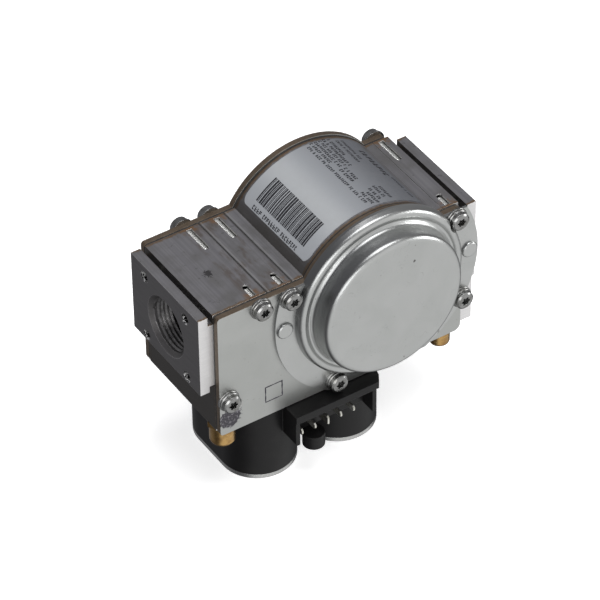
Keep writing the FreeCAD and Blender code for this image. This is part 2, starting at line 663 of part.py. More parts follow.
def valve_disc(x):
    """Steel disc that carries the seal, with a collar on its underside for the armature's head."""
    top = seal_top() - SEAL_THICKNESS
    bottom = top - DISC_THICKNESS
    return lathe([(0, top), (DISC_RADIUS, top), (DISC_RADIUS, bottom + 0.6), (DISC_RADIUS - 0.6, bottom),
                  (0, bottom)], x)


def valve_armature(x):
    top = seal_top() - SEAL_THICKNESS - DISC_THICKNESS
    radius = ARMATURE_RADIUS
    return lathe([(0, top), (radius - 0.5, top), (radius, top - 0.5), (radius, ARMATURE_BOTTOM + 0.5),
                  (radius - 0.5, ARMATURE_BOTTOM), (0, ARMATURE_BOTTOM)], x)


def valve_spring(x):
    bottom = BODY_BOTTOM + TUBE_FLANGE_THICKNESS + 0.01
    top = seal_top() - SEAL_THICKNESS - DISC_THICKNESS - 0.01
    spring = helical_spring(8.6, SPRING_WIRE, top - bottom, 6.5)
    spring.translate(VECTOR(x, 0, bottom))
    return spring


def guide_tube(x):
    """Closed tube in which the armature slides, with the flange that shuts the service hole."""
    top = BODY_BOTTOM + TUBE_FLANGE_THICKNESS
    tube = lathe([(TUBE_BORE, top), (TUBE_FLANGE_RADIUS - 0.05, top), (TUBE_FLANGE_RADIUS - 0.05, BODY_BOTTOM),
                  (TUBE_RADIUS, BODY_BOTTOM), (TUBE_RADIUS, TUBE_BOTTOM), (2.0, TUBE_BOTTOM),
                  (2.0, TUBE_BOTTOM + 1.0), (TUBE_BORE, TUBE_BOTTOM + 1.0)], x)
    return tube


def guide_tube_seal(x):
    ring = Part.makeTorus(14.35, 0.42, VECTOR(x, 0, BODY_BOTTOM + TUBE_FLANGE_THICKNESS + 0.43), UP)
    return ring


def fixed_core(x):
    """Iron plug in the closed end of the guide tube, tapped for the coil's fixing screw."""
    return lathe([(0, CORE_TOP - 4.3), (TUBE_BORE, CORE_TOP - 4.3), (TUBE_BORE, TUBE_BOTTOM + 1.0),
                  (2.0, TUBE_BOTTOM + 1.0), (2.0, TUBE_BOTTOM + 9.0), (0, TUBE_BOTTOM + 9.0)], x)


# Solenoid unit

def solenoid_mounting_plate():
    top = BODY_BOTTOM
    plate = box(21.0, 92.5, -24.0, 24.0, top - MOUNT_PLATE_THICKNESS, top)
    corners = [edge for edge in plate.Edges if abs(edge.tangentAt(edge.FirstParameter).z) > 0.9]
    plate = plate.makeFillet(4.0, corners)
    holes = [cylinder_z(x, 0, TUBE_RADIUS + 0.1, top - 5, top + 1) for x in VALVE_X]
    holes += [cylinder_z(x, y, 2.2, top - 5, top + 1) for x, y in UNIT_SCREWS]
    return cut(plate, holes)


def solenoid_mounting_screws():
    seat = BODY_BOTTOM - MOUNT_PLATE_THICKNESS
    screws = []
    for x, y in UNIT_SCREWS:
        screw = lathe([(0, seat - 2.2), (3.0, seat - 2.2), (3.6, seat - 1.6), (3.6, seat), (2.0, seat),
                       (2.0, CHAMBER_FLOOR + 1), (1.5, CHAMBER_FLOOR + 1.5), (0, CHAMBER_FLOOR + 1.5)], x, y)
        screws.append(screw.cut(box(x - 2.4, x + 2.4, y - 0.5, y + 0.5, seat - 3, seat - 1.2)))
    return Part.makeCompound(screws)


def coil_bobbin(x):
    inner = TUBE_RADIUS + 0.2
    tube = 8.2
    flange = BOBBIN_FLANGE_RADIUS
    return lathe([(inner, BOBBIN_TOP), (flange, BOBBIN_TOP), (flange, BOBBIN_TOP - 1.4), (tube, BOBBIN_TOP - 1.4),
                  (tube, BOBBIN_BOTTOM + 1.4), (flange, BOBBIN_BOTTOM + 1.4), (flange, BOBBIN_BOTTOM),
                  (inner, BOBBIN_BOTTOM)], x)


def coil_winding(x):
    return ring_z(x, 0, 8.2, WINDING_RADIUS, BOBBIN_BOTTOM + 1.4, BOBBIN_TOP - 1.4)


def blade_positions():
    """Centre X and height of each contact blade; the earth blade in the middle is the taller one."""
    return [(EARTH_BLADE_X + i * BLADE_PITCH, 4.6 if i == 0 else 2.8) for i in range(-2, 3)]


def blade(x, height, thickness=0.8):
    """Flat contact with a chamfered tip, its root moulded into the housing."""
    half = height / 2
    tip = SOCKET_FRONT + 0.7
    root = -24.0
    points = [VECTOR(x - thickness / 2, y, z) for y, z in
              ((root, BLADE_Z - half), (root, BLADE_Z + half), (tip + 0.8, BLADE_Z + half),
               (tip, BLADE_Z + half - 0.7), (tip, BLADE_Z - half + 0.7), (tip + 0.8, BLADE_Z - half))]
    return Part.Face(Part.makePolygon(points + points[:1])).extrude(VECTOR(thickness, 0, 0))


def line_blades():
    return Part.makeCompound([blade(x, height) for x, height in blade_positions() if height < 4])


def earth_blade():
    return [blade(x, height) for x, height in blade_positions() if height > 4][0]


def coil_housing():
    """Black moulding round both coils; the plug socket at the front is open below, beside its screw boss."""
    coils = [stadium(x, COIL_HALF_WIDTH, COIL_HALF_DEPTH, COIL_BOTTOM, COIL_TOP) for x in VALVE_X]
    web = box(44, 68, -16, 16, COIL_BOTTOM + 8, COIL_TOP)
    socket = rounded_block(SOCKET_LEFT, SOCKET_RIGHT - 1.1, SOCKET_BOTTOM, COIL_TOP, SOCKET_FRONT + 0.6, -10, 1.0)
    edge = [VECTOR(x, y, PLATE_BOTTOM - 4.0) for x, y in
            ((SOCKET_LEFT, SOCKET_FRONT), (SOCKET_RIGHT, SOCKET_FRONT), (SOCKET_RIGHT + 2.3, SOCKET_FRONT + 3.6),
             (SOCKET_RIGHT + 3.5, -29.0), (SOCKET_RIGHT + 3.5, -24.0), (SOCKET_LEFT, -24.0))]
    lip = Part.Face(Part.makePolygon(edge + edge[:1])).extrude(VECTOR(0, 0, 3.5))
    socket = socket.cut(box(SOCKET_LEFT + 2.0, SOCKET_RIGHT - 2.8, SOCKET_FRONT - 1, SOCKET_BACK,
                            SOCKET_BOTTOM - 1, PLATE_BOTTOM - 4.8))
    boss = cylinder_z(BOSS_X, BOSS_Y, BOSS_RADIUS, BOSS_BOTTOM, SOCKET_BOTTOM - 0.6)
    boss_web = box(BOSS_X - 3, BOSS_X + 3, BOSS_Y, -20, BOSS_BOTTOM + 2, SOCKET_BOTTOM - 1)
    body = fuse(coils + [web, socket, lip, boss, boss_web])
    cuts = []
    for x in VALVE_X:
        cuts.append(cylinder_z(x, 0, BOBBIN_FLANGE_RADIUS + 0.1, BOBBIN_BOTTOM - 0.1, COIL_TOP + 1))
        cuts.append(cylinder_z(x, 0, 2.2, COIL_BOTTOM - 1, COIL_TOP))
    cuts += [cylinder_z(x, y, 4.2, COIL_TOP - 2.6, COIL_TOP + 1) for x, y in UNIT_SCREWS]
    cuts += [blade(x, height) for x, height in blade_positions()]
    return cut(body, cuts)


def coil_end_plate(x):
    """Steel flux plate under a coil, countersunk for the fixing screw."""
    bottom = COIL_BOTTOM - END_PLATE_THICKNESS
    plate = stadium(x, COIL_HALF_WIDTH, COIL_HALF_DEPTH, bottom, COIL_BOTTOM)
    sink = lathe([(0, bottom - 1), (3.9, bottom - 1), (3.9, bottom), (2.1, bottom + 1.8), (2.1, COIL_BOTTOM + 1),
                  (0, COIL_BOTTOM + 1)], x)
    return plate.cut(sink)


def coil_fixing_screws():
    bottom = COIL_BOTTOM - END_PLATE_THICKNESS + 0.05
    screws = []
    for x in VALVE_X:
        screw = lathe([(0, bottom), (3.8, bottom), (2.0, bottom + 1.8), (2.0, TUBE_BOTTOM + 7.0),
                       (0, TUBE_BOTTOM + 7.0)], x)
        slot = fuse([box(x - 2.4, x + 2.4, -0.45, 0.45, bottom - 1, bottom + 0.9),
                     box(x - 0.45, x + 0.45, -2.4, 2.4, bottom - 1, bottom + 0.9)])
        screws.append(screw.cut(slot))
    return Part.makeCompound(screws)


# Gas way fittings

def strainer_frame():
    """Upright plastic frame across the inlet chamber with a window and a groove for the mesh."""
    half = BODY_HALF_DEPTH - 0.1
    frame = box(20.3, 22.9, -half, half, CHAMBER_FLOOR, WALL_BOTTOM)
    window = box(20, 24, 3 - half, half - 3, CHAMBER_FLOOR + 3, WALL_BOTTOM - 3)
    groove = box(21.3, 21.9, 1.5 - half, half - 1.5, CHAMBER_FLOOR + 1.5, WALL_BOTTOM - 1.5)
    return cut(frame, [window, groove])


def strainer_mesh():
    half = BODY_HALF_DEPTH - 0.1
    return box(21.3, 21.9, 1.5 - half, half - 1.5, CHAMBER_FLOOR + 1.5, WALL_BOTTOM - 1.5)


def test_nipple(x, y, radius):
    """Brass nipple: thread into the body, hexagon, hose barrel and a seat for the sealing ball."""
    thread = cylinder_z(x, y, NIPPLE_THREAD_RADIUS, BODY_BOTTOM - 0.5, NIPPLE_THREAD_TOP)
    nut = hex_prism(x, y, NIPPLE_HEX, BODY_BOTTOM - 2.4, BODY_BOTTOM)
    barrel = lathe([(0, BODY_BOTTOM - 2.0), (radius, BODY_BOTTOM - 2.0), (radius, NIPPLE_BOTTOM + 1.2),
                    (radius - 0.35, NIPPLE_BOTTOM + 0.35), (radius - 1.2, NIPPLE_BOTTOM), (0, NIPPLE_BOTTOM)], x, y)
    gas_hole = cylinder_z(x, y, NIPPLE_SEAT_BORE, NIPPLE_SEAT_Z - 1, NIPPLE_THREAD_TOP + 1)
    screw_bore = cylinder_z(x, y, NIPPLE_SCREW_BORE, NIPPLE_BOTTOM - 1, NIPPLE_SEAT_Z)
    return cut(fuse([thread, nut, barrel]), [gas_hole, screw_bore])


def ball_centre():
    drop = math.sqrt(NIPPLE_BALL_RADIUS ** 2 - NIPPLE_SEAT_BORE ** 2)
    return NIPPLE_SEAT_Z - drop - 0.03


def nipple_ball(x, y):
    return Part.makeSphere(NIPPLE_BALL_RADIUS, VECTOR(x, y, ball_centre()))


def nipple_screw(x, y):
    """Slotted grub screw that presses the ball against its seat."""
    top = ball_centre() - NIPPLE_BALL_RADIUS - 0.02
    bottom = NIPPLE_BOTTOM + 0.4
    screw = lathe([(0, bottom), (NIPPLE_SCREW_RADIUS - 0.3, bottom), (NIPPLE_SCREW_RADIUS, bottom + 0.3),
                   (NIPPLE_SCREW_RADIUS, top - 0.3), (NIPPLE_SCREW_RADIUS - 0.3, top), (0, top)], x, y)
    return screw.cut(box(x - 3, x + 3, y - 0.4, y + 0.4, bottom - 1, bottom + 1.0))


def all_parts():
    """Every piece of the valve by its node name."""
    parts = {
        "valve_body": valve_body(),
        "front_gasket": cover_gasket(-1),
        "back_gasket": cover_gasket(1),
        "front_cover_plate": cover_plate(-1),
        "back_cover_plate": cover_plate(1),
        "front_cover_screws": cover_screws(-1),
        "back_cover_screws": cover_screws(1),
        "front_screw_washers": screw_washers(-1),
        "back_screw_washers": screw_washers(1),
        "type_label": type_label(),
        "diaphragm_dome": diaphragm_dome(),
        "regulator_diaphragm": regulator_diaphragm(),
        "diaphragm_back_disc": diaphragm_disc(1.6, 0),
        "diaphragm_front_disc": diaphragm_disc(3.1, 0.6),
        "regulator_stem": regulator_stem(),
        "regulator_stem_nut": regulator_stem_nut(),
        "regulator_stem_bush": regulator_stem_bush(),
        "regulator_seat_plate": regulator_seat_plate(),
        "regulator_valve_seal": regulator_valve_seal(),
        "regulator_valve_disc": regulator_valve_disc(),
        "regulator_spring": regulator_spring(),
        "solenoid_mounting_plate": solenoid_mounting_plate(),
        "solenoid_mounting_screws": solenoid_mounting_screws(),
        "coil_housing": coil_housing(),
        "coil_fixing_screws": coil_fixing_screws(),
        "line_blades": line_blades(),
        "earth_blade": earth_blade(),
        "strainer_frame": strainer_frame(),
        "strainer_mesh": strainer_mesh(),
    }
    for number, x in enumerate(VALVE_X, start=1):
        parts[f"valve_{number}_seal"] = valve_seal(x)
        parts[f"valve_{number}_disc"] = valve_disc(x)
        parts[f"valve_{number}_armature"] = valve_armature(x)
        parts[f"valve_{number}_spring"] = valve_spring(x)
        parts[f"valve_{number}_guide_tube"] = guide_tube(x)
        parts[f"valve_{number}_tube_seal"] = guide_tube_seal(x)
        parts[f"valve_{number}_fixed_core"] = fixed_core(x)
        parts[f"coil_{number}_bobbin"] = coil_bobbin(x)
        parts[f"coil_{number}_winding"] = coil_winding(x)
        parts[f"coil_{number}_end_plate"] = coil_end_plate(x)
    for place, (x, y) in NIPPLES.items():
        parts[f"{place}_test_nipple"] = test_nipple(x, y, NIPPLE_BARRELS[place])
        parts[f"{place}_nipple_ball"] = nipple_ball(x, y)
        parts[f"{place}_nipple_screw"] = nipple_screw(x, y)
    return parts


def main():
    os.makedirs("parts", exist_ok=True)
    for name, shape in all_parts().items():
        shape.exportStep(f"parts/{name}.step")
        solids = len(shape.Solids)
        print(f"{name:28s} solids {solids}  volume {shape.Volume:10.1f}  valid {shape.isValid()}")


main()
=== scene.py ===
import bpy
import json
import math
import random
from mathutils import Matrix, Vector


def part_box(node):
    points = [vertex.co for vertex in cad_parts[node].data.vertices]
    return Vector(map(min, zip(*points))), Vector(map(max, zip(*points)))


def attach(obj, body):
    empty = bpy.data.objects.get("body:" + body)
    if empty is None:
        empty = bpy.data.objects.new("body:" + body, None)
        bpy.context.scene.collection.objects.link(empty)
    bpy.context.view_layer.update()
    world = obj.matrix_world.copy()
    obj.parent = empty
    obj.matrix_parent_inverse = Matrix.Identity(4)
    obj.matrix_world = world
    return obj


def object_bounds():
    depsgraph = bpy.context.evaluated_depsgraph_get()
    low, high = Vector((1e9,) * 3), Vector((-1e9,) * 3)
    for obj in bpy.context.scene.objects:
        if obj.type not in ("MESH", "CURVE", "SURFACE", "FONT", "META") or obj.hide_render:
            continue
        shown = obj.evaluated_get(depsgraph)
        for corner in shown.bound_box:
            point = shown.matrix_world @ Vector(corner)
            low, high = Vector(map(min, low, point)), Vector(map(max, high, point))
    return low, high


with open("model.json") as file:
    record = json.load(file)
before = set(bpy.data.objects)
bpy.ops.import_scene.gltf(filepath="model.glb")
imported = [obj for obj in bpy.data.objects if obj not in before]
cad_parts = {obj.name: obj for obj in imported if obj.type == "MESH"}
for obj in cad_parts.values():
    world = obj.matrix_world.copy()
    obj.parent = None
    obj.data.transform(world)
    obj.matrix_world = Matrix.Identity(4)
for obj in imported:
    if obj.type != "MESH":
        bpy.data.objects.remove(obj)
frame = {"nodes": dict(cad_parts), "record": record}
cad_low, cad_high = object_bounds()
NODES = frame["nodes"]
MM = 0.001

# Design dimensions of the valve, in millimetres
LENGTH = 134.3
ARCH_X = 82.8
ARCH_Z = 2.0
DOME_Z = 1.8
WINDOW_X = (26.9, 40.1, 121.0)
GROOVE_X = (32.3, 44.3)
FLANGE_HOLE_OFFSET = 15.5


# Shader graphs

class Graph:
    """A node material with one Principled shader; colours and heights are built in object millimetres."""

    def __init__(self, name, metallic, roughness, specular=0.5):
        self.material = bpy.data.materials.new(name)
        self.material.use_nodes = True
        self.tree = self.material.node_tree
        self.tree.nodes.clear()
        self.shader = self.tree.nodes.new("ShaderNodeBsdfPrincipled")
        output = self.tree.nodes.new("ShaderNodeOutputMaterial")
        self.tree.links.new(self.shader.outputs[0], output.inputs["Surface"])
        self.set(metallic=metallic, roughness=roughness)
        self.shader.inputs["Specular IOR Level"].default_value = specular
        coordinates = self.tree.nodes.new("ShaderNodeTexCoord")
        self.position = self.vector("SCALE", coordinates.outputs["Object"], scale=1000.0)
        self.normal = coordinates.outputs["Normal"]

    def put(self, socket, value):
        if isinstance(value, bpy.types.NodeSocket):
            self.tree.links.new(value, socket)
        elif hasattr(value, "__len__") and len(value) == 3 and socket.type == "RGBA":
            socket.default_value = (*value, 1.0)
        else:
            socket.default_value = value

    def set(self, colour=None, metallic=None, roughness=None, normal=None):
        inputs = {"Base Color": colour, "Metallic": metallic, "Roughness": roughness, "Normal": normal}
        for name, value in inputs.items():
            if value is not None:
                self.put(self.shader.inputs[name], value)

    def math(self, operation, a, b=0.0, c=0.0, clamp=False):
        node = self.tree.nodes.new("ShaderNodeMath")
        node.operation = operation
        node.use_clamp = clamp
        for socket, value in zip(node.inputs, (a, b, c)):
            self.put(socket, value)
        return node.outputs[0]

    def vector(self, operation, a, b=(0.0, 0.0, 0.0), scale=1.0):
        node = self.tree.nodes.new("ShaderNodeVectorMath")
        node.operation = operation
        self.put(node.inputs[0], a)
        self.put(node.inputs[1], b)
        if operation == "SCALE":
            self.put(node.inputs["Scale"], scale)
        return node.outputs["Value" if operation in ("LENGTH", "DOT_PRODUCT") else "Vector"]

    def axes(self, vector):
        node = self.tree.nodes.new("ShaderNodeSeparateXYZ")
        self.put(node.inputs[0], vector)
        return node.outputs

    def join(self, x, y, z):
        node = self.tree.nodes.new("ShaderNodeCombineXYZ")
        for socket, value in zip(node.inputs, (x, y, z)):
            self.put(socket, value)
        return node.outputs[0]

    def noise(self, scale, detail=3.0, stretch=(1.0, 1.0, 1.0), vector=None, distortion=0.0):
        node = self.tree.nodes.new("ShaderNodeTexNoise")
        self.put(node.inputs["Vector"], self.vector("MULTIPLY", vector or self.position, stretch))
        self.put(node.inputs["Scale"], scale)
        self.put(node.inputs["Detail"], detail)
        self.put(node.inputs["Distortion"], distortion)
        return node.outputs[0]

    def between(self, value, low, high, to_low=0.0, to_high=1.0):
        """Smooth step of value from low to high."""
        node = self.tree.nodes.new("ShaderNodeMapRange")
        node.interpolation_type = "SMOOTHSTEP"
        for socket, number in zip(node.inputs, (value, low, high, to_low, to_high)):
            self.put(socket, number)
        return node.outputs[0]

    def mix(self, factor, a, b):
        node = self.tree.nodes.new("ShaderNodeMix")
        node.data_type = "RGBA"
        self.put(node.inputs[0], factor)
        self.put(node.inputs[6], a)
        self.put(node.inputs[7], b)
        return node.outputs[2]

    def bump(self, height, distance, normal=None):
        """Relief of height (0 to 1) times distance in millimetres."""
        node = self.tree.nodes.new("ShaderNodeBump")
        self.put(node.inputs["Height"], height)
        self.put(node.inputs["Distance"], distance * MM)
        self.put(node.inputs["Strength"], 1.0)
        if normal is not None:
            self.put(node.inputs["Normal"], normal)
        return node.outputs[0]

    def soft_edges(self, radius):
        node = self.tree.nodes.new("ShaderNodeBevel")
        node.samples = 6
        self.put(node.inputs["Radius"], radius * MM)
        return node.outputs[0]

    def edge_wear(self, softened):
        """1 along edges, 0 on open faces."""
        geometry = self.tree.nodes.new("ShaderNodeNewGeometry")
        aligned = self.vector("DOT_PRODUCT", softened, geometry.outputs["True Normal"])
        return self.between(aligned, 0.998, 0.93)


def shade(*names):
    """Decorator: the graph it returns becomes the material of these CAD nodes."""
    def apply(build):
        material = build().material
        for name in names:
            node = NODES[name]
            for slot in node.material_slots:
                slot.link = "OBJECT"
                slot.material = material
        return build
    return apply


NODE_SLOTS = {part["node"]: part["material_slot"] for part in frame["record"]["subparts"]}


def nodes_with_slot(*slots):
    return [name for name, slot in NODE_SLOTS.items() if slot in slots]


# Materials

@shade("valve_body")
def body_aluminium():
    g = Graph("body_aluminium", 0.85, 0.4)
    x, y, z = g.axes(g.position)
    nx, ny, nz = g.axes(g.normal)
    soft = g.soft_edges(0.25)
    wear = g.edge_wear(soft)
    lines = g.noise(0.9, 4.0, (1.0, 0.012, 1.0))
    fine = g.noise(5.0, 3.0, (1.0, 0.03, 1.0))
    clouds = g.noise(0.09, 4.0)
    skin = g.mix(g.between(lines, 0.3, 0.7), (0.235, 0.23, 0.245), (0.30, 0.295, 0.31))
    skin = g.mix(g.between(clouds, 0.35, 0.75), skin, (0.21, 0.205, 0.205))
    blots = g.between(g.noise(0.35, 3.0), 0.66, 0.74)
    skin = g.mix(g.math("MULTIPLY", blots, 0.4), skin, (0.09, 0.085, 0.085))
    # Brown stain along the cut edges
    edge = g.math("ADD", g.math("ABSOLUTE", y), g.math("MULTIPLY", g.noise(0.45, 3.0), 2.6))
    stain = g.between(edge, 25.3, 26.4)
    skin = g.mix(g.math("MULTIPLY", stain, 0.85), skin, (0.21, 0.135, 0.075))
    # Sawn ends
    saw = g.noise(2.5, 3.0, (0.06, 1.0, 1.0))
    sawn = g.mix(saw, (0.68, 0.67, 0.67), (0.84, 0.83, 0.83))
    is_sawn = g.between(g.math("ABSOLUTE", ny), 0.90, 0.96)
    # Milled pipe flanges and their ports, with milled streaks in a tone darker than the skin that is painted
    # shade
    milled_with_painted_shade = g.mix(g.noise(1.6, 3.0, (1.0, 0.05, 1.0)), (0.13, 0.125, 0.128), (0.22, 0.213, 0.217))
    past_end = g.math("SUBTRACT", g.math("ABSOLUTE", g.math("SUBTRACT", x, LENGTH / 2)), LENGTH / 2)
    bore = g.vector("LENGTH", g.join(0.0, y, z))
    in_port = g.math("MULTIPLY", g.math("LESS_THAN", bore, 14.2), g.math("GREATER_THAN", past_end, -12.0))
    is_end = g.math("MAXIMUM", in_port, g.math("GREATER_THAN", past_end, -0.05))
    colour = g.mix(is_sawn, skin, sawn)
    colour = g.mix(is_end, colour, milled_with_painted_shade)
    # Painted shading: the faces turned to the inlet are dark, whatever the light
    side = g.math("MULTIPLY", g.between(nx, -0.6, -0.95), g.math("GREATER_THAN", x, 0.3))
    colour = g.mix(g.math("MULTIPLY", side, 0.9), colour, (0.055, 0.049, 0.041))
    # Grime round the windows of the screw channels
    grime = g.math("MULTIPLY", g.between(g.math("ABSOLUTE", g.math("SUBTRACT", x, 33.5)), 11.5, 8.0),
                   g.between(g.noise(0.3, 4.0, (1.0, 0.35, 1.0)), 0.46, 0.66))
    grime = g.math("MULTIPLY", grime, g.math("GREATER_THAN", z, 12.0))
    colour = g.mix(g.math("MULTIPLY", grime, 0.55), colour, (0.13, 0.095, 0.07))
    # Rolled grooves along the shoulder: a dark line of painted shade in each, and a bright line of painted
    # highlight beside it
    for groove in GROOVE_X:
        off = g.math("SUBTRACT", x, groove)
        shoulder = g.math("MULTIPLY", g.math("GREATER_THAN", z, 17.0), g.math("LESS_THAN", x, 50.0))
        groove_painted_shade = g.math("MULTIPLY", g.between(g.math("ABSOLUTE", off), 0.55, 0.3), shoulder)
        past_line = g.math("ABSOLUTE", g.math("SUBTRACT", off, 0.95))
        groove_painted_highlight = g.math("MULTIPLY", g.between(past_line, 0.5, 0.2), shoulder)
        colour = g.mix(g.math("MULTIPLY", groove_painted_highlight, 0.35), colour, (0.50, 0.50, 0.50))
        colour = g.mix(g.math("MULTIPLY", groove_painted_shade, 0.75), colour, (0.04, 0.037, 0.035))
    # Bright cut metal inside the windows of the screw channels
    for channel in WINDOW_X:
        inside = g.math("LESS_THAN", g.math("ABSOLUTE", g.math("SUBTRACT", x, channel)), 1.45)
        inside = g.math("MULTIPLY", inside, g.math("LESS_THAN", nz, 0.8))
        inside = g.math("MULTIPLY", inside, g.math("GREATER_THAN", z, 12.0))
        colour = g.mix(g.math("MULTIPLY", inside, 0.9), colour, (0.58, 0.58, 0.57))
        # Rust-brown stain where the window meets the cut edge
        outward = g.math("ADD", g.math("ABSOLUTE", y), g.math("MULTIPLY", clouds, 3.0))
        near = g.math("MULTIPLY", g.between(g.math("ABSOLUTE", g.math("SUBTRACT", x, channel)), 4.5, 2.0),
                      g.between(outward, 21.5, 24.0))
        near = g.math("MULTIPLY", near, g.between(g.noise(0.5, 3.0), 0.35, 0.6))
        near = g.math("MULTIPLY", near, g.math("GREATER_THAN", nz, 0.5))
        colour = g.mix(g.math("MULTIPLY", near, 0.8), colour, (0.27, 0.155, 0.085))
    # Painted shade inside the flange's fixing holes, with painted glints on their chamfers and threads
    hole_y = g.math("SUBTRACT", g.math("ABSOLUTE", y), FLANGE_HOLE_OFFSET)
    hole_z = g.math("SUBTRACT", g.math("ABSOLUTE", z), FLANGE_HOLE_OFFSET)
    hole = g.math("LESS_THAN", g.vector("LENGTH", g.join(0.0, hole_y, hole_z)), 2.9)
    flat = g.math("LESS_THAN", g.math("ABSOLUTE", nx), 0.9)
    hole_shade_mask = g.math("MULTIPLY", g.math("MULTIPLY", hole, flat), g.math("GREATER_THAN", past_end, -14.0))
    painted_hole_shade_and_glints = g.mix(g.between(g.noise(1.1, 2.0), 0.50, 0.56), (0.03, 0.03, 0.03), (0.9, 0.9, 0.89))
    colour = g.mix(hole_shade_mask, colour, painted_hole_shade_and_glints)
    # Dark smudge in the middle of the shoulder
    smudge = g.vector("LENGTH", g.join(g.math("SUBTRACT", x, 19.0), g.math("ADD", y, 3.0), 0.0))
    uneven = g.math("MULTIPLY", g.noise(0.8, 3.0, distortion=1.0), 6.0)
    smudge = g.between(g.math("ADD", smudge, uneven), 5.2, 4.4)
    smudge = g.math("MULTIPLY", smudge, g.math("GREATER_THAN", nz, 0.9))
    colour = g.mix(g.math("MULTIPLY", smudge, 0.8), colour, (0.035, 0.033, 0.035))
    # Edges worn bright, and brighter still round the pipe flanges as a painted highlight
    rubbed_and_painted_highlight = g.math("MULTIPLY_ADD", g.between(past_end, -1.2, -0.6), 0.45, 0.35)
    colour = g.mix(g.math("MULTIPLY", wear, rubbed_and_painted_highlight), colour, (0.70, 0.69, 0.69))
    rough = g.math("ADD", g.math("MULTIPLY", fine, 0.2), g.math("MULTIPLY_ADD", is_sawn, 0.1, 0.3))
    height = g.math("ADD", g.math("MULTIPLY", lines, 0.6), g.math("MULTIPLY", fine, 0.4))
    g.set(colour=colour, roughness=rough, normal=g.bump(height, 0.05, soft))
    return g


@shade(*nodes_with_slot("plate_zinc"))
def plate_zinc():
    g = Graph("plate_zinc", 0.85, 0.4)
    x, y, z = g.axes(g.position)
    ny = g.axes(g.normal)[1]
    soft = g.soft_edges(0.2)
    clouds = g.noise(0.05, 5.0, distortion=0.6)
    grain = g.noise(3.0, 4.0)
    colour = g.mix(clouds, (0.37, 0.38, 0.365), (0.48, 0.485, 0.475))
    specks = g.between(g.noise(0.7, 2.0), 0.70, 0.75)
    colour = g.mix(g.math("MULTIPLY", specks, 0.3), colour, (0.20, 0.18, 0.15))
    # Punched edges are bare and stained
    is_edge = g.between(g.math("ABSOLUTE", ny), 0.75, 0.5)
    bare = g.mix(g.noise(0.5, 4.0), (0.13, 0.095, 0.065), (0.22, 0.175, 0.135))
    colour = g.mix(is_edge, colour, bare)
    # Sealing lacquer smeared below the lower screw of the inlet end
    smear = g.vector("LENGTH", g.join(g.math("SUBTRACT", x, 11.6), 0.0, g.math("SUBTRACT", z, -33.6)))
    ragged = g.math("ADD", smear, g.math("MULTIPLY", g.noise(0.5, 3.0, distortion=1.5), 6.0))
    lacquer = g.math("MULTIPLY", g.between(ragged, 8.2, 7.8), g.math("LESS_THAN", y, -28.0))
    thin = g.between(g.noise(0.9, 3.0, distortion=1.0), 0.55, 0.62)
    varnish = g.mix(thin, (0.035, 0.030, 0.042), (0.22, 0.21, 0.23))
    colour = g.mix(g.math("MULTIPLY", lacquer, 0.9), colour, varnish)
    crinkle = g.math("MULTIPLY", lacquer, g.noise(0.9, 3.0, distortion=1.0))
    height = g.math("ADD", g.math("MULTIPLY", grain, 0.15), crinkle)
    g.set(colour=colour, roughness=g.math("MULTIPLY_ADD", grain, 0.18, 0.33), normal=g.bump(height, 0.12, soft))
    return g


@shade("diaphragm_dome")
def dome_zinc():
    g = Graph("dome_zinc", 0.95, 0.25)
    x, y, z = g.axes(g.position)
    radius = g.vector("LENGTH", g.join(g.math("SUBTRACT", x, ARCH_X), 0.0, g.math("SUBTRACT", z, DOME_Z)))
    clouds = g.noise(0.06, 5.0, distortion=0.8)
    drawn = g.noise(1.0, 4.0, vector=g.join(radius, y, 0.0))
    grain = g.noise(4.0, 3.0)
    nx, _, nz = g.axes(g.normal)
    specks = g.between(g.noise(0.35, 1.0), 0.76, 0.78)
    colour = g.mix(clouds, (0.42, 0.43, 0.42), (0.51, 0.515, 0.51))
    colour = g.mix(g.math("MULTIPLY", specks, 0.5), colour, (0.14, 0.13, 0.12))
    nick = g.vector("LENGTH", g.join(g.math("SUBTRACT", x, 91.8), 0.0, g.math("SUBTRACT", z, 21.8)))
    nick = g.between(g.math("ADD", nick, g.noise(1.5, 2.0)), 1.25, 0.95)
    colour = g.mix(g.math("MULTIPLY", nick, 0.8), colour, (0.06, 0.055, 0.05))
    # Painted shading: the wall that faces up and left is darker, whatever the light
    shade_side = g.math("SUBTRACT", g.math("MULTIPLY", nz, 0.7), g.math("MULTIPLY", nx, 0.7))
    colour = g.mix(g.math("MULTIPLY", g.between(shade_side, 0.35, 1.0), 0.75), colour, (0.11, 0.112, 0.12))
    face = g.between(y, -42.6, -43.0)
    wander = g.math("SUBTRACT", g.noise(0.09, 2.0, distortion=2.0), 0.5)
    scratch = g.between(g.math("ABSOLUTE", wander), 0.006, 0.0)
    scratch = g.math("MULTIPLY", scratch, g.between(g.noise(0.12, 2.0), 0.5, 0.62))
    colour = g.mix(g.math("MULTIPLY", scratch, 0.45), colour, (0.22, 0.22, 0.21))
    rough = g.math("ADD", g.math("MULTIPLY_ADD", grain, 0.1, 0.27), g.math("MULTIPLY", face, 0.05))
    height = g.math("ADD", g.math("MULTIPLY", drawn, 0.7), g.math("MULTIPLY", grain, 0.3))
    g.set(colour=colour, roughness=rough, normal=g.bump(height, 0.015))
    return g


COVER_SCREWS = [(26.9, 18.2), (40.1, 18.2), (121.0, 21.9), (10.8, -23.4), (61.8, -37.0), (124.0, -22.0)]
SOCKET_RADIUS = 2.4
HEAD_TOP = 33.4


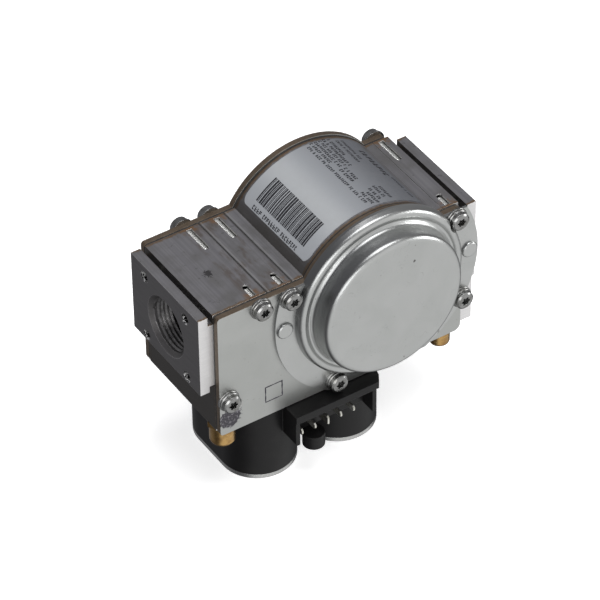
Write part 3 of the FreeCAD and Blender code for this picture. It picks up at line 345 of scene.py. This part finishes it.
@shade(*nodes_with_slot("screw_zinc", "plate_steel"))
def screw_zinc():
    g = Graph("screw_zinc", 0.95, 0.28)
    x, y, z = g.axes(g.position)
    soft = g.soft_edges(0.15)
    wear = g.edge_wear(soft)
    grime = g.noise(0.4, 4.0)
    colour = g.mix(g.between(grime, 0.4, 0.7), (0.29, 0.29, 0.287), (0.18, 0.177, 0.168))
    colour = g.mix(g.math("MULTIPLY", wear, 0.35), colour, (0.5, 0.5, 0.5))
    # Painted shade in the star sockets of the cover screws; bright threads
    off_axis = 1000.0
    for screw_x, screw_z in COVER_SCREWS:
        away = g.vector("LENGTH", g.join(g.math("SUBTRACT", x, screw_x), 0.0, g.math("SUBTRACT", z, screw_z)))
        off_axis = g.math("MINIMUM", away, off_axis)
    depth = g.math("SUBTRACT", HEAD_TOP, g.math("ABSOLUTE", y))
    socket = g.math("MULTIPLY", g.math("LESS_THAN", off_axis, SOCKET_RADIUS), g.between(depth, 0.05, 0.5))
    thread = g.between(g.math("ABSOLUTE", y), 28.0, 26.0)
    colour = g.mix(g.math("MULTIPLY", socket, 0.65), colour, (0.07, 0.07, 0.07))
    colour = g.mix(thread, colour, (0.50, 0.50, 0.49))
    g.set(colour=colour, roughness=g.math("MULTIPLY_ADD", g.noise(1.5), 0.15, 0.18),
          normal=g.bump(g.noise(1.2), 0.01, soft))
    return g


@shade("type_label")
def label_film():
    g = Graph("label_film", 0.35, 0.35)
    x = g.axes(g.position)[0]
    # Painted shading: dark towards the outlet, with a bright band across, whatever the light
    fade = g.between(x, 62.0, 110.0)
    colour = g.mix(fade, (0.44, 0.46, 0.49), (0.105, 0.112, 0.13))
    sheen = g.between(g.math("ABSOLUTE", g.math("SUBTRACT", x, 68.0)), 11.0, 0.0)
    colour = g.mix(g.math("MULTIPLY", sheen, 0.4), colour, (0.66, 0.68, 0.68))
    colour = g.mix(g.math("MULTIPLY", g.noise(0.4, 4.0), 0.2), colour, (0.33, 0.32, 0.31))
    rough = g.math("MULTIPLY_ADD", g.noise(1.5), 0.2, 0.25)
    g.set(colour=colour, roughness=rough, normal=g.bump(g.noise(0.9), 0.02))
    return g


@shade(*nodes_with_slot("black_moulding"))
def black_moulding():
    g = Graph("black_moulding", 0.0, 0.42, 0.25)
    soft = g.soft_edges(0.4)
    wear = g.edge_wear(soft)
    dust = g.between(g.noise(0.12, 5.0), 0.45, 0.75)
    colour = g.mix(g.math("MULTIPLY", dust, 0.6), (0.005, 0.0047, 0.005), (0.010, 0.0095, 0.0095))
    colour = g.mix(g.math("MULTIPLY", wear, 0.5), colour, (0.03, 0.03, 0.03))
    grain = g.noise(5.0, 3.0)
    g.set(colour=colour, roughness=g.math("MULTIPLY_ADD", grain, 0.16, 0.36), normal=g.bump(grain, 0.02, soft))
    return g


def plain(name, light, dark, metallic, roughness, scale=0.5, relief=0.02):
    """Two-tone mottled finish with uneven gloss, for small pieces."""
    g = Graph(name, metallic, roughness)
    mottle = g.noise(scale, 4.0)
    g.set(colour=g.mix(g.between(mottle, 0.35, 0.7), light, dark),
          roughness=g.math("MULTIPLY_ADD", g.noise(scale * 4), 0.2, roughness - 0.1),
          normal=g.bump(g.noise(scale * 3), relief))
    return g


@shade(*nodes_with_slot("gasket_rubber", "seal_rubber"))
def rubber():
    return plain("gasket_rubber", (0.012, 0.011, 0.010), (0.03, 0.027, 0.024), 0.0, 0.6)


@shade(*nodes_with_slot("nipple_brass"))
def nipple_brass():
    g = Graph("nipple_brass", 0.95, 0.25)
    soft = g.soft_edges(0.3)
    z = g.axes(g.position)[2]
    turned = g.noise(3.0, 2.0, vector=g.join(0.0, 0.0, z))
    colour = g.mix(g.between(g.noise(0.3, 4.0), 0.35, 0.7), (0.52, 0.33, 0.125), (0.33, 0.19, 0.07))
    rough = g.math("MULTIPLY_ADD", g.noise(1.0), 0.2, 0.14)
    g.set(colour=colour, roughness=rough, normal=g.bump(turned, 0.03, soft))
    return g


@shade(*nodes_with_slot("blade_tin"))
def blade_tin():
    return plain("blade_tin", (0.72, 0.71, 0.66), (0.45, 0.44, 0.38), 0.95, 0.3)


@shade(*nodes_with_slot("core_steel", "tube_steel", "strainer_weave", "turned_aluminium", "spring_steel"))
def bright_steel():
    return plain("bright_steel", (0.55, 0.55, 0.55), (0.36, 0.35, 0.34), 0.95, 0.35)


@shade(*nodes_with_slot("winding_copper"))
def winding_copper():
    return plain("winding_copper", (0.50, 0.20, 0.09), (0.30, 0.10, 0.05), 0.9, 0.35)


@shade(*nodes_with_slot("bobbin_plastic", "strainer_plastic"))
def pale_plastic():
    return plain("pale_plastic", (0.62, 0.58, 0.48), (0.50, 0.46, 0.38), 0.0, 0.5)


# Print and pipe threads

def add_piece(name, points, faces, material, body):
    mesh = bpy.data.meshes.new(name)
    mesh.from_pydata([Vector(point) * MM for point in points], [], faces)
    mesh.update()
    mesh.materials.append(material)
    piece = bpy.data.objects.new(name, mesh)
    bpy.context.scene.collection.objects.link(piece)
    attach(piece, body)
    return piece


def ink(name, tone):
    """Printing ink, thin in places."""
    g = Graph(name, 0.0, 0.5, 0.2)
    g.set(colour=g.mix(g.noise(1.5, 4.0), tone, tuple(3.0 * part for part in tone)),
          roughness=g.math("MULTIPLY_ADD", g.noise(3.0), 0.2, 0.4), normal=g.bump(g.noise(4.0), 0.005))
    return g.material


PRINT_RADIUS = 38.4 + 0.15 + 0.015


def label_patch(points, faces, angles, sides):
    """Rectangle of ink on the label, between two angles round the arch (degrees) and two values of y."""
    steps = max(1, round(abs(angles[1] - angles[0]) / 3.0))
    first = len(points)
    for step in range(steps + 1):
        turn = math.radians(angles[0] + (angles[1] - angles[0]) * step / steps)
        x = ARCH_X + PRINT_RADIUS * math.cos(turn)
        z = ARCH_Z + PRINT_RADIUS * math.sin(turn)
        points.extend([(x, sides[0], z), (x, sides[1], z)])
    for step in range(steps):
        k = first + 2 * step
        faces.append((k, k + 1, k + 3, k + 2))


def bar_code(points, faces, dice):
    """Stripes of random widths."""
    y = -17.8
    while y < 17.4:
        width = dice.choice((0.42, 0.42, 0.75, 1.05))
        label_patch(points, faces, (117.5, 136.0), (y, y + width))
        y += width + dice.choice((0.26, 0.26, 0.26, 0.5))


def mark_row(points, faces, dice, angle, start, end, height, stroke):
    """Row of random marks that spell nothing, each an upright with two short bars."""
    y = start
    while y > end:
        width = height * dice.uniform(0.45, 0.7)
        top = math.degrees(height / PRINT_RADIUS)
        label_patch(points, faces, (angle, angle + top), (y - stroke, y))
        for level in dice.sample((0.05, 0.42, 0.8), 2):
            bar = angle + top * level
            label_patch(points, faces, (bar, bar + math.degrees(stroke / PRINT_RADIUS)), (y - width, y))
        y -= width + height * dice.choice((0.22, 0.22, 0.22, 0.22, 0.8))


# Angle, first y, last y, height and stroke of each row of marks, in degrees and mm
MARK_ROWS = [(138.7, 17.0, -15.0, 1.9, 0.45), (84.5, 23.5, 8.0, 1.4, 0.42), (81.3, 23.5, 5.0, 1.4, 0.42),
             (78.1, 23.5, 5.0, 1.4, 0.42), (74.9, 24.0, 4.0, 1.5, 0.45), (71.5, 23.5, 12.0, 1.5, 0.45),
             (87.8, 22.0, -20.0, 1.4, 0.4), (83.0, 3.0, -6.0, 1.5, 0.45), (79.6, 3.0, -5.0, 1.5, 0.45),
             (84.6, -14.0, -22.0, 1.4, 0.42), (81.3, -15.0, -22.0, 1.4, 0.42), (78.0, -13.0, -22.0, 1.4, 0.42),
             (74.0, -12.0, -21.0, 1.4, 0.42), (70.5, -13.0, -21.0, 1.4, 0.42), (66.5, 22.0, 5.0, 1.4, 0.4),
             (62.5, 22.0, 8.0, 1.4, 0.4), (52.5, 15.0, -3.0, 3.2, 0.9), (50.5, -5.0, -19.0, 1.6, 0.5)]


def label_print():
    dice = random.Random(7)
    points, faces = [], []
    bar_code(points, faces, dice)
    for row in MARK_ROWS:
        mark_row(points, faces, dice, *row)
    add_piece("label_print", points, faces, ink("label_ink", (0.012, 0.012, 0.014)), "valve")


STAMP_X = 32.7
STAMP_Z = -30.0
STAMP_HALF_SIDE = 4.0
STAMP_STEPS = 6


def plate_stamp():
    """Blank inspection mark on the front plate: a square outline in uneven ink."""
    dice = random.Random(3)
    points, faces = [], []
    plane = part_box("front_cover_plate")[0].y / MM - 0.012
    corners = ((-1, -1), (1, -1), (1, 1), (-1, 1))
    for (x0, z0), (x1, z1) in zip(corners, corners[1:] + corners[:1]):
        for step in range(STAMP_STEPS):
            x = x0 + (x1 - x0) * step / STAMP_STEPS
            z = z0 + (z1 - z0) * step / STAMP_STEPS
            half = dice.uniform(0.16, 0.38)
            for reach in (STAMP_HALF_SIDE - half, STAMP_HALF_SIDE + half):
                points.append((STAMP_X + reach * x, plane, STAMP_Z + reach * z))
    count = len(points)
    for k in range(0, count, 2):
        faces.append((k, k + 1, (k + 3) % count, (k + 2) % count))
    add_piece("plate_stamp", points, faces, ink("stamp_ink", (0.02, 0.018, 0.024)), "valve")


THREAD_START = 2.3
THREAD_PITCH = 1.814
THREAD_TURNS = 4.2
THREAD_ROOT = 12.045
THREAD_CREST = 11.35
THREAD_SIDES = 64


def pipe_thread(name, start, direction):
    """Ridge of the internal pipe thread, wound inward from a port's mouth."""
    points, faces = [], []
    section = ((-0.82, THREAD_ROOT), (-0.12, THREAD_CREST), (0.12, THREAD_CREST), (0.82, THREAD_ROOT))
    steps = round(THREAD_SIDES * THREAD_TURNS)
    for step in range(steps + 1):
        turn = 2 * math.pi * step / THREAD_SIDES
        reach = start + direction * THREAD_PITCH * step / THREAD_SIDES
        fade = min(1.0, step / 10.0, (steps - step) / 10.0)
        for along, radius in section:
            radius = THREAD_ROOT + (radius - THREAD_ROOT) * fade
            points.append((reach + along, radius * math.cos(turn), radius * math.sin(turn)))
    for step in range(steps):
        for k in range(3):
            a = 4 * step + k
            faces.append((a, a + 1, a + 5, a + 4))
    add_piece(name, points, faces, cut_thread, "valve")


cut_thread = plain("cut_thread", (0.26, 0.255, 0.255), (0.15, 0.145, 0.147), 0.9, 0.3, 0.6, 0.01).material
label_print()
plate_stamp()
pipe_thread("inlet_thread", THREAD_START, 1.0)
pipe_thread("outlet_thread", LENGTH - THREAD_START, -1.0)


# Studio

def make_camera():
    data = bpy.data.cameras.new("camera")
    data.lens = 234.17
    data.sensor_width = 36.0
    data.clip_start = 0.1
    data.clip_end = 50.0
    camera = bpy.data.objects.new("camera", data)
    right = Vector((0.83678, -0.54746, -0.00970))
    up = Vector((0.36791, 0.54905, 0.75046))
    backward = right.cross(up)
    turn = Matrix((right, up, backward)).transposed().to_4x4()
    camera.matrix_world = Matrix.Translation((-0.58850, -1.01693, 1.04693)) @ turn
    bpy.context.scene.collection.objects.link(camera)
    bpy.context.scene.camera = camera


def make_floor():
    """Pale floor that glows a little like a light table; reflections take the studio's walls instead."""
    level = cad_low.z - 0.0002
    data = bpy.data.meshes.new("floor")
    size = 6.0
    data.from_pydata([(-size, -size, level), (size, -size, level), (size, size, level), (-size, size, level)],
                     [], [(0, 1, 2, 3)])
    floor = bpy.data.objects.new("floor", data)
    bpy.context.scene.collection.objects.link(floor)
    g = Graph("floor", 0.0, 0.8, 0.0)
    g.set(colour=g.mix(g.noise(0.01, 2.0), (0.93, 0.93, 0.93), (0.95, 0.95, 0.95)))
    g.shader.inputs["Emission Color"].default_value = (1.0, 1.0, 1.0, 1.0)
    g.shader.inputs["Emission Strength"].default_value = 0.55
    data.materials.append(g.material)
    floor.visible_glossy = False
    floor.visible_diffuse = False


def make_light(name, direction, distance, size, power):
    """Softbox that faces the object from that direction."""
    data = bpy.data.lights.new(name, "AREA")
    data.shape = "RECTANGLE"
    data.size, data.size_y = size
    data.energy = power
    light = bpy.data.objects.new(name, data)
    centre = (cad_low + cad_high) / 2
    light.location = centre + Vector(direction).normalized() * distance
    light.rotation_euler = Vector(direction).to_track_quat("Z", "Y").to_euler()
    bpy.context.scene.collection.objects.link(light)


def make_world():
    """Studio walls: bright in front of the object, dark behind it, to its left and above."""
    world = bpy.data.worlds.new("studio")
    world.use_nodes = True
    tree = world.node_tree
    tree.nodes.clear()
    output = tree.nodes.new("ShaderNodeOutputWorld")
    sky = tree.nodes.new("ShaderNodeBackground")
    ramp = tree.nodes.new("ShaderNodeValToRGB")
    direction = tree.nodes.new("ShaderNodeTexCoord")
    facing = tree.nodes.new("ShaderNodeVectorMath")
    facing.operation = "DOT_PRODUCT"
    facing.inputs[1].default_value = (0.25, -0.93, -0.27)
    scaled = tree.nodes.new("ShaderNodeMath")
    scaled.operation = "MULTIPLY_ADD"
    scaled.inputs[1].default_value = 0.5
    scaled.inputs[2].default_value = 0.5
    tree.links.new(direction.outputs["Generated"], facing.inputs[0])
    tree.links.new(facing.outputs["Value"], scaled.inputs[0])
    tree.links.new(scaled.outputs[0], ramp.inputs[0])
    stops = ramp.color_ramp.elements
    stops[0].position, stops[0].color = WORLD_STOPS[0][0], (*WORLD_STOPS[0][1], 1)
    stops[1].position, stops[1].color = WORLD_STOPS[-1][0], (*WORLD_STOPS[-1][1], 1)
    for place, tint in WORLD_STOPS[1:-1]:
        stops.new(place).color = (*tint, 1)
    tree.links.new(ramp.outputs[0], sky.inputs["Color"])
    sky.inputs["Strength"].default_value = 1.0
    tree.links.new(sky.outputs[0], output.inputs["Surface"])
    bpy.context.scene.world = world


WORLD_STOPS = [(0.0, (0.30, 0.30, 0.31)), (0.30, (0.22, 0.22, 0.23)), (0.50, (0.08, 0.08, 0.085)),
               (0.66, (0.16, 0.16, 0.165)), (0.80, (0.85, 0.86, 0.86)), (1.0, (0.95, 0.95, 0.95))]

make_camera()
make_floor()
make_world()
make_light("overhead", (0.1, -0.1, 1.0), 1.4, (0.9, 0.9), 15.0)
make_light("front_left", (-0.57, -0.73, 0.31), 1.3, (1.0, 0.8), 7.5)
make_light("right", (0.9, -0.35, 0.25), 1.3, (0.5, 0.5), 5.0)
bpy.context.scene.view_settings.view_transform = "Standard"
